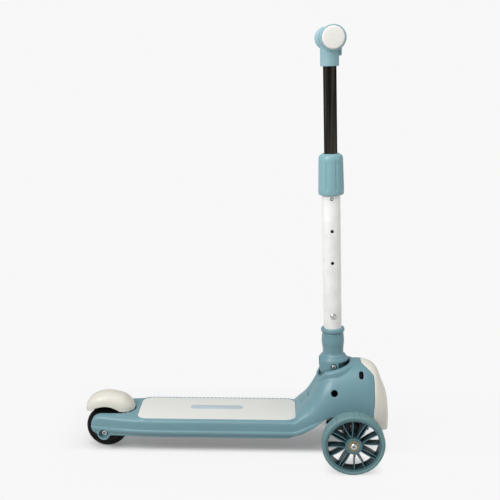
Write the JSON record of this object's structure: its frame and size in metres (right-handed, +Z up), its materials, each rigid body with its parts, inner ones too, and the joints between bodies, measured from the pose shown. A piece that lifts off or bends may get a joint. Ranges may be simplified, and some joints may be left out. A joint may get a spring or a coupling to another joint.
{
  "type": "three wheel kids scooter",
  "caption": "Kick scooter for small children: lean-steer front truck, folding stem with telescopic handlebar, domed foot brake over the rear wheel",
  "frame": {"origin": "on the floor under the middle of the bounding box", "axes": "+X forward (travel), +Y to the rider's left, +Z up along the height"},
  "size_m": [0.608, 0.2616, 0.8327],
  "materials": {
    "body_blue": "satin moulded nylon in greyed pale blue",
    "cream_plastic": "satin moulded plastic in warm cream",
    "pad_plastic": "fine grained soft plastic in greyed cream",
    "black_plastic": "black moulded nylon, fine grain",
    "badge_blue": "pale blue soft plastic inlay",
    "steel": "zinc plated steel",
    "bearing_steel": "ground bearing steel with dark shields",
    "black_steel": "black powder coated steel",
    "spring_steel": "oiled spring steel",
    "white_paint": "smooth white powder coat on aluminium",
    "dark_chrome": "dark chrome plated tube",
    "collar_plastic": "smooth satin plastic in greyed pale blue",
    "grip_rubber": "soft satin rubber in greyed pale blue",
    "white_plastic": "glossy white plastic",
    "front_wheel_blue": "moulded nylon in deep greyed teal",
    "front_tyre_pu": "cast polyurethane in greyed teal blue",
    "rear_tyre_rubber": "black cast polyurethane"
  },
  "bodies": {
    "chassis": {"deck_body": "body_blue", "front_cover": "cream_plastic", "underside_cover": "black_plastic", "deck_pad": "pad_plastic", "deck_badge": "badge_blue", "rear_axle_bolt": "steel", "rear_axle_nut": "steel", "front_bracket": "black_steel", "bracket_bolt_left": "steel", "bracket_bolt_right": "steel", "roll_bolt": "steel", "roll_nut": "steel", "fold_bolt": "steel", "fold_nut": "steel", "lock_spring": "spring_steel", "fender_pin": "steel", "brake_spring": "spring_steel"},
    "stem": {"stem_base": "body_blue", "outer_tube": "white_paint", "tube_screw": "steel", "clamp_bush": "black_plastic"},
    "clamp_collar": {"collar": "collar_plastic"},
    "mast": {"inner_tube": "dark_chrome", "foot_plug": "black_plastic", "t_head": "grip_rubber", "handle_bar": "dark_chrome", "grip_left": "grip_rubber", "end_cap_left": "white_plastic", "grip_right": "grip_rubber", "end_cap_right": "white_plastic"},
    "height_button": {"spring_button": "steel"},
    "lock_slider": {"fold_lock": "black_steel"},
    "truck": {"truck_beam": "black_plastic", "kingpin_left": "steel", "kingpin_right": "steel", "lean_spring_left": "spring_steel", "lean_spring_right": "spring_steel"},
    "steering_rod": {"tie_rod": "black_steel"},
    "steer_left": {"knuckle_left": "black_plastic", "front_axle_left": "steel"},
    "steer_right": {"knuckle_right": "black_plastic", "front_axle_right": "steel"},
    "wheel_left": {"front_wheel_core_left": "front_wheel_blue", "front_tyre_left": "front_tyre_pu", "front_bearing_left_inner": "bearing_steel", "front_bearing_left_outer": "bearing_steel"},
    "wheel_right": {"front_wheel_core_right": "front_wheel_blue", "front_tyre_right": "front_tyre_pu", "front_bearing_right_inner": "bearing_steel", "front_bearing_right_outer": "bearing_steel"},
    "wheel_rear": {"rear_wheel_core": "black_plastic", "rear_tyre": "rear_tyre_rubber", "rear_bearing_left": "bearing_steel", "rear_bearing_right": "bearing_steel"},
    "brake": {"fender": "cream_plastic", "brake_shoe": "black_plastic"}
  },
  "joints": [
    {"name": "lean", "type": "hinge", "parent": "chassis", "child": "truck", "pos_m": [0.2275, 0, 0.05], "axis": [1, 0, 0], "range_deg": [-8, 8], "stiffness_Nm_per_rad": 60, "deforming": ["lean_spring_left", "lean_spring_right"]},
    {"name": "rod_slide", "type": "slide", "parent": "truck", "child": "steering_rod", "axis": [0, 1, 0], "range_m": [-0.0038, 0.0038]},
    {"name": "steer_left", "type": "hinge", "parent": "truck", "child": "steer_left", "pos_m": [0.2275, 0.084, 0.06], "axis": [0, 0, 1], "range_deg": [-12.1, 12.1]},
    {"name": "steer_right", "type": "hinge", "parent": "truck", "child": "steer_right", "pos_m": [0.2275, -0.084, 0.06], "axis": [0, 0, 1], "range_deg": [-12.1, 12.1]},
    {"name": "spin_left", "type": "hinge", "parent": "steer_left", "child": "wheel_left", "pos_m": [0.2275, 0.11325, 0.06], "axis": [0, 1, 0], "continuous": true},
    {"name": "spin_right", "type": "hinge", "parent": "steer_right", "child": "wheel_right", "pos_m": [0.2275, -0.11325, 0.06], "axis": [0, 1, 0], "continuous": true},
    {"name": "spin_rear", "type": "hinge", "parent": "chassis", "child": "wheel_rear", "pos_m": [-0.262, 0, 0.042], "axis": [0, 1, 0], "continuous": true},
    {"name": "brake_press", "type": "hinge", "parent": "chassis", "child": "brake", "pos_m": [-0.222, 0, 0.07], "axis": [0, -1, 0], "range_deg": [0, 5], "stiffness_Nm_per_rad": 4, "springref_deg": -17.19},
    {"name": "stem_fold", "type": "hinge", "parent": "chassis", "child": "stem", "pos_m": [0.1937, 0, 0.181], "axis": [0, -1, 0], "range_deg": [0, 88]},
    {"name": "lock_pull", "type": "slide", "parent": "chassis", "child": "lock_slider", "axis": [1, 0, 0], "range_m": [0, 0.0045], "stiffness_N_per_m": 600, "springref_m": -0.004, "deforming": ["lock_spring"]},
    {"name": "collar_twist", "type": "hinge", "parent": "stem", "child": "clamp_collar", "pos_m": [0.18183, 0, 0.55881], "axis": [-0.0314, 0, 0.9995], "range_deg": [0, 90]},
    {"name": "height_slide", "type": "slide", "parent": "stem", "child": "mast", "axis": [0.0314, 0, -0.9995], "range_m": [0, 0.125]},
    {"name": "button_press", "type": "slide", "parent": "mast", "child": "height_button", "axis": [0, 1, 0], "range_m": [0, 0.003], "stiffness_N_per_m": 800, "springref_m": -0.001}
  ],
  "couplings": [
    {"joint": "rod_slide", "follows": "lean", "m_per_rad": 0.027},
    {"joint": "steer_left", "follows": "lean", "ratio": 1.5},
    {"joint": "steer_right", "follows": "lean", "ratio": 1.5}
  ]
}
